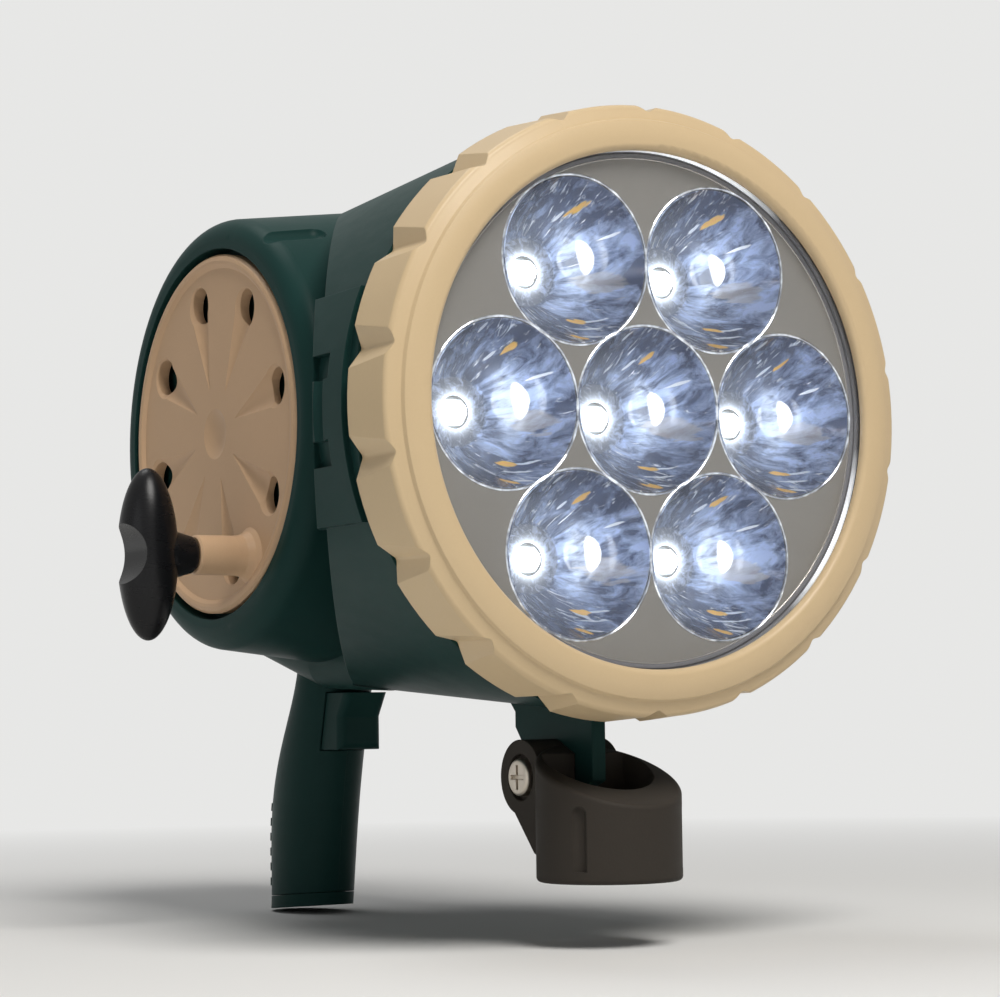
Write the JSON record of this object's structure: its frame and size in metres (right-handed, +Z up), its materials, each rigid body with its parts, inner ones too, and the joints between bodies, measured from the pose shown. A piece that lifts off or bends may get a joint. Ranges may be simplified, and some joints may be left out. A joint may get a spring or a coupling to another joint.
{
  "type": "hand crank flashlight",
  "caption": "Large hand crank lamp: fluted round bezel over reflector cups, side crank disc with knob, pistol grip with trigger and a tilting pole-socket bracket.",
  "frame": {"origin": "centre of the pole socket's mouth, on the underside of the tilting bracket", "axes": "+Z up, the lamp shines along -Y, the crank disc faces -X"},
  "size_m": [0.182, 0.2351, 0.2311],
  "materials": {
    "cream_plastic": "satin moulded",
    "disc_plastic": "satin moulded",
    "green_plastic": "fine grained moulding",
    "green_rubber": "soft",
    "black_plastic": "satin moulded",
    "grey_plastic": "grained moulding",
    "clear_lens": "clear",
    "reflector_plating": "vacuum plated",
    "seal_rubber": "soft",
    "board_green": "solder mask",
    "led_base_white": "ceramic",
    "led_light": "lit dome",
    "sink_aluminium": "milled",
    "screw_steel": "zinc plated",
    "shaft_steel": "ground",
    "spring_steel": "drawn wire",
    "bronze": "sintered",
    "gear_plastic": "natural",
    "plate_steel": "stamped",
    "case_steel": "drawn",
    "copper_winding": "enamelled wire",
    "cell_green": "shrink sleeve",
    "part_black": "moulded"
  },
  "bodies": {
    "lamp": {"bezel_ring": "cream_plastic", "front_lens": "clear_lens", "lens_gasket": "seal_rubber", "reflector": "reflector_plating", "led_board": "board_green", "led_bases": "led_base_white", "led_domes": "led_light", "heat_sink": "sink_aluminium", "engine_screws": "screw_steel", "front_shell": "green_plastic", "housing_left": "green_plastic", "housing_right": "green_plastic", "housing_screws": "screw_steel", "shell_screws": "screw_steel", "grip_insert": "green_rubber", "butt_cap": "green_plastic", "side_cover": "green_plastic", "cover_screws": "screw_steel", "trigger_spring": "spring_steel", "trigger_switch": "part_black", "shaft_bushes": "bronze", "gear_plate_outer": "plate_steel", "gear_plate_inner": "plate_steel", "gear_spacers": "shaft_steel", "gearbox_screws": "screw_steel", "stage_axle": "shaft_steel", "generator_case": "case_steel", "generator_coils": "copper_winding", "battery_cells": "cell_green", "cell_contacts": "spring_steel", "cell_tray": "part_black", "control_board": "board_green", "board_parts": "part_black", "board_screws": "screw_steel"},
    "crank": {"crank_disc": "disc_plastic", "crank_shaft": "shaft_steel", "drive_gear": "gear_plastic", "knob_pin": "shaft_steel"},
    "knob_body": {"knob": "black_plastic"},
    "stage": {"stage_gear": "gear_plastic"},
    "rotor": {"generator_rotor": "shaft_steel"},
    "trigger_body": {"trigger": "green_plastic"},
    "bracket": {"tilt_bracket": "grey_plastic", "pivot_bolt": "screw_steel", "pivot_nut": "screw_steel"}
  },
  "joints": [
    {"name": "crank_spin", "type": "hinge", "parent": "lamp", "child": "crank", "pos_m": [-0.052, 0.1335, 0.1335], "axis": [1, 0, 0], "continuous": true},
    {"name": "knob_spin", "type": "hinge", "parent": "crank", "child": "knob_body", "pos_m": [-0.08, 0.11036, 0.09467], "axis": [1, 0, 0], "continuous": true},
    {"name": "stage_spin", "type": "hinge", "parent": "lamp", "child": "stage", "pos_m": [-0.03, 0.1515, 0.16468], "axis": [1, 0, 0], "continuous": true},
    {"name": "rotor_spin", "type": "hinge", "parent": "lamp", "child": "rotor", "pos_m": [-0.01, 0.1215, 0.16468], "axis": [1, 0, 0], "continuous": true},
    {"name": "trigger_slide", "type": "slide", "parent": "lamp", "child": "trigger_body", "axis": [0, 1, 0], "range_m": [0, 0.004], "stiffness_N_per_m": 700, "springref_m": -0.003, "deforming": ["trigger_spring"]},
    {"name": "bracket_tilt", "type": "hinge", "parent": "lamp", "child": "bracket", "pos_m": [0, 0.0242, 0.0285], "axis": [1, 0, 0], "range_deg": [-4, 60]}
  ],
  "couplings": [
    {"joint": "stage_spin", "follows": "crank_spin", "ratio": -5},
    {"joint": "rotor_spin", "follows": "crank_spin", "ratio": 20}
  ]
}
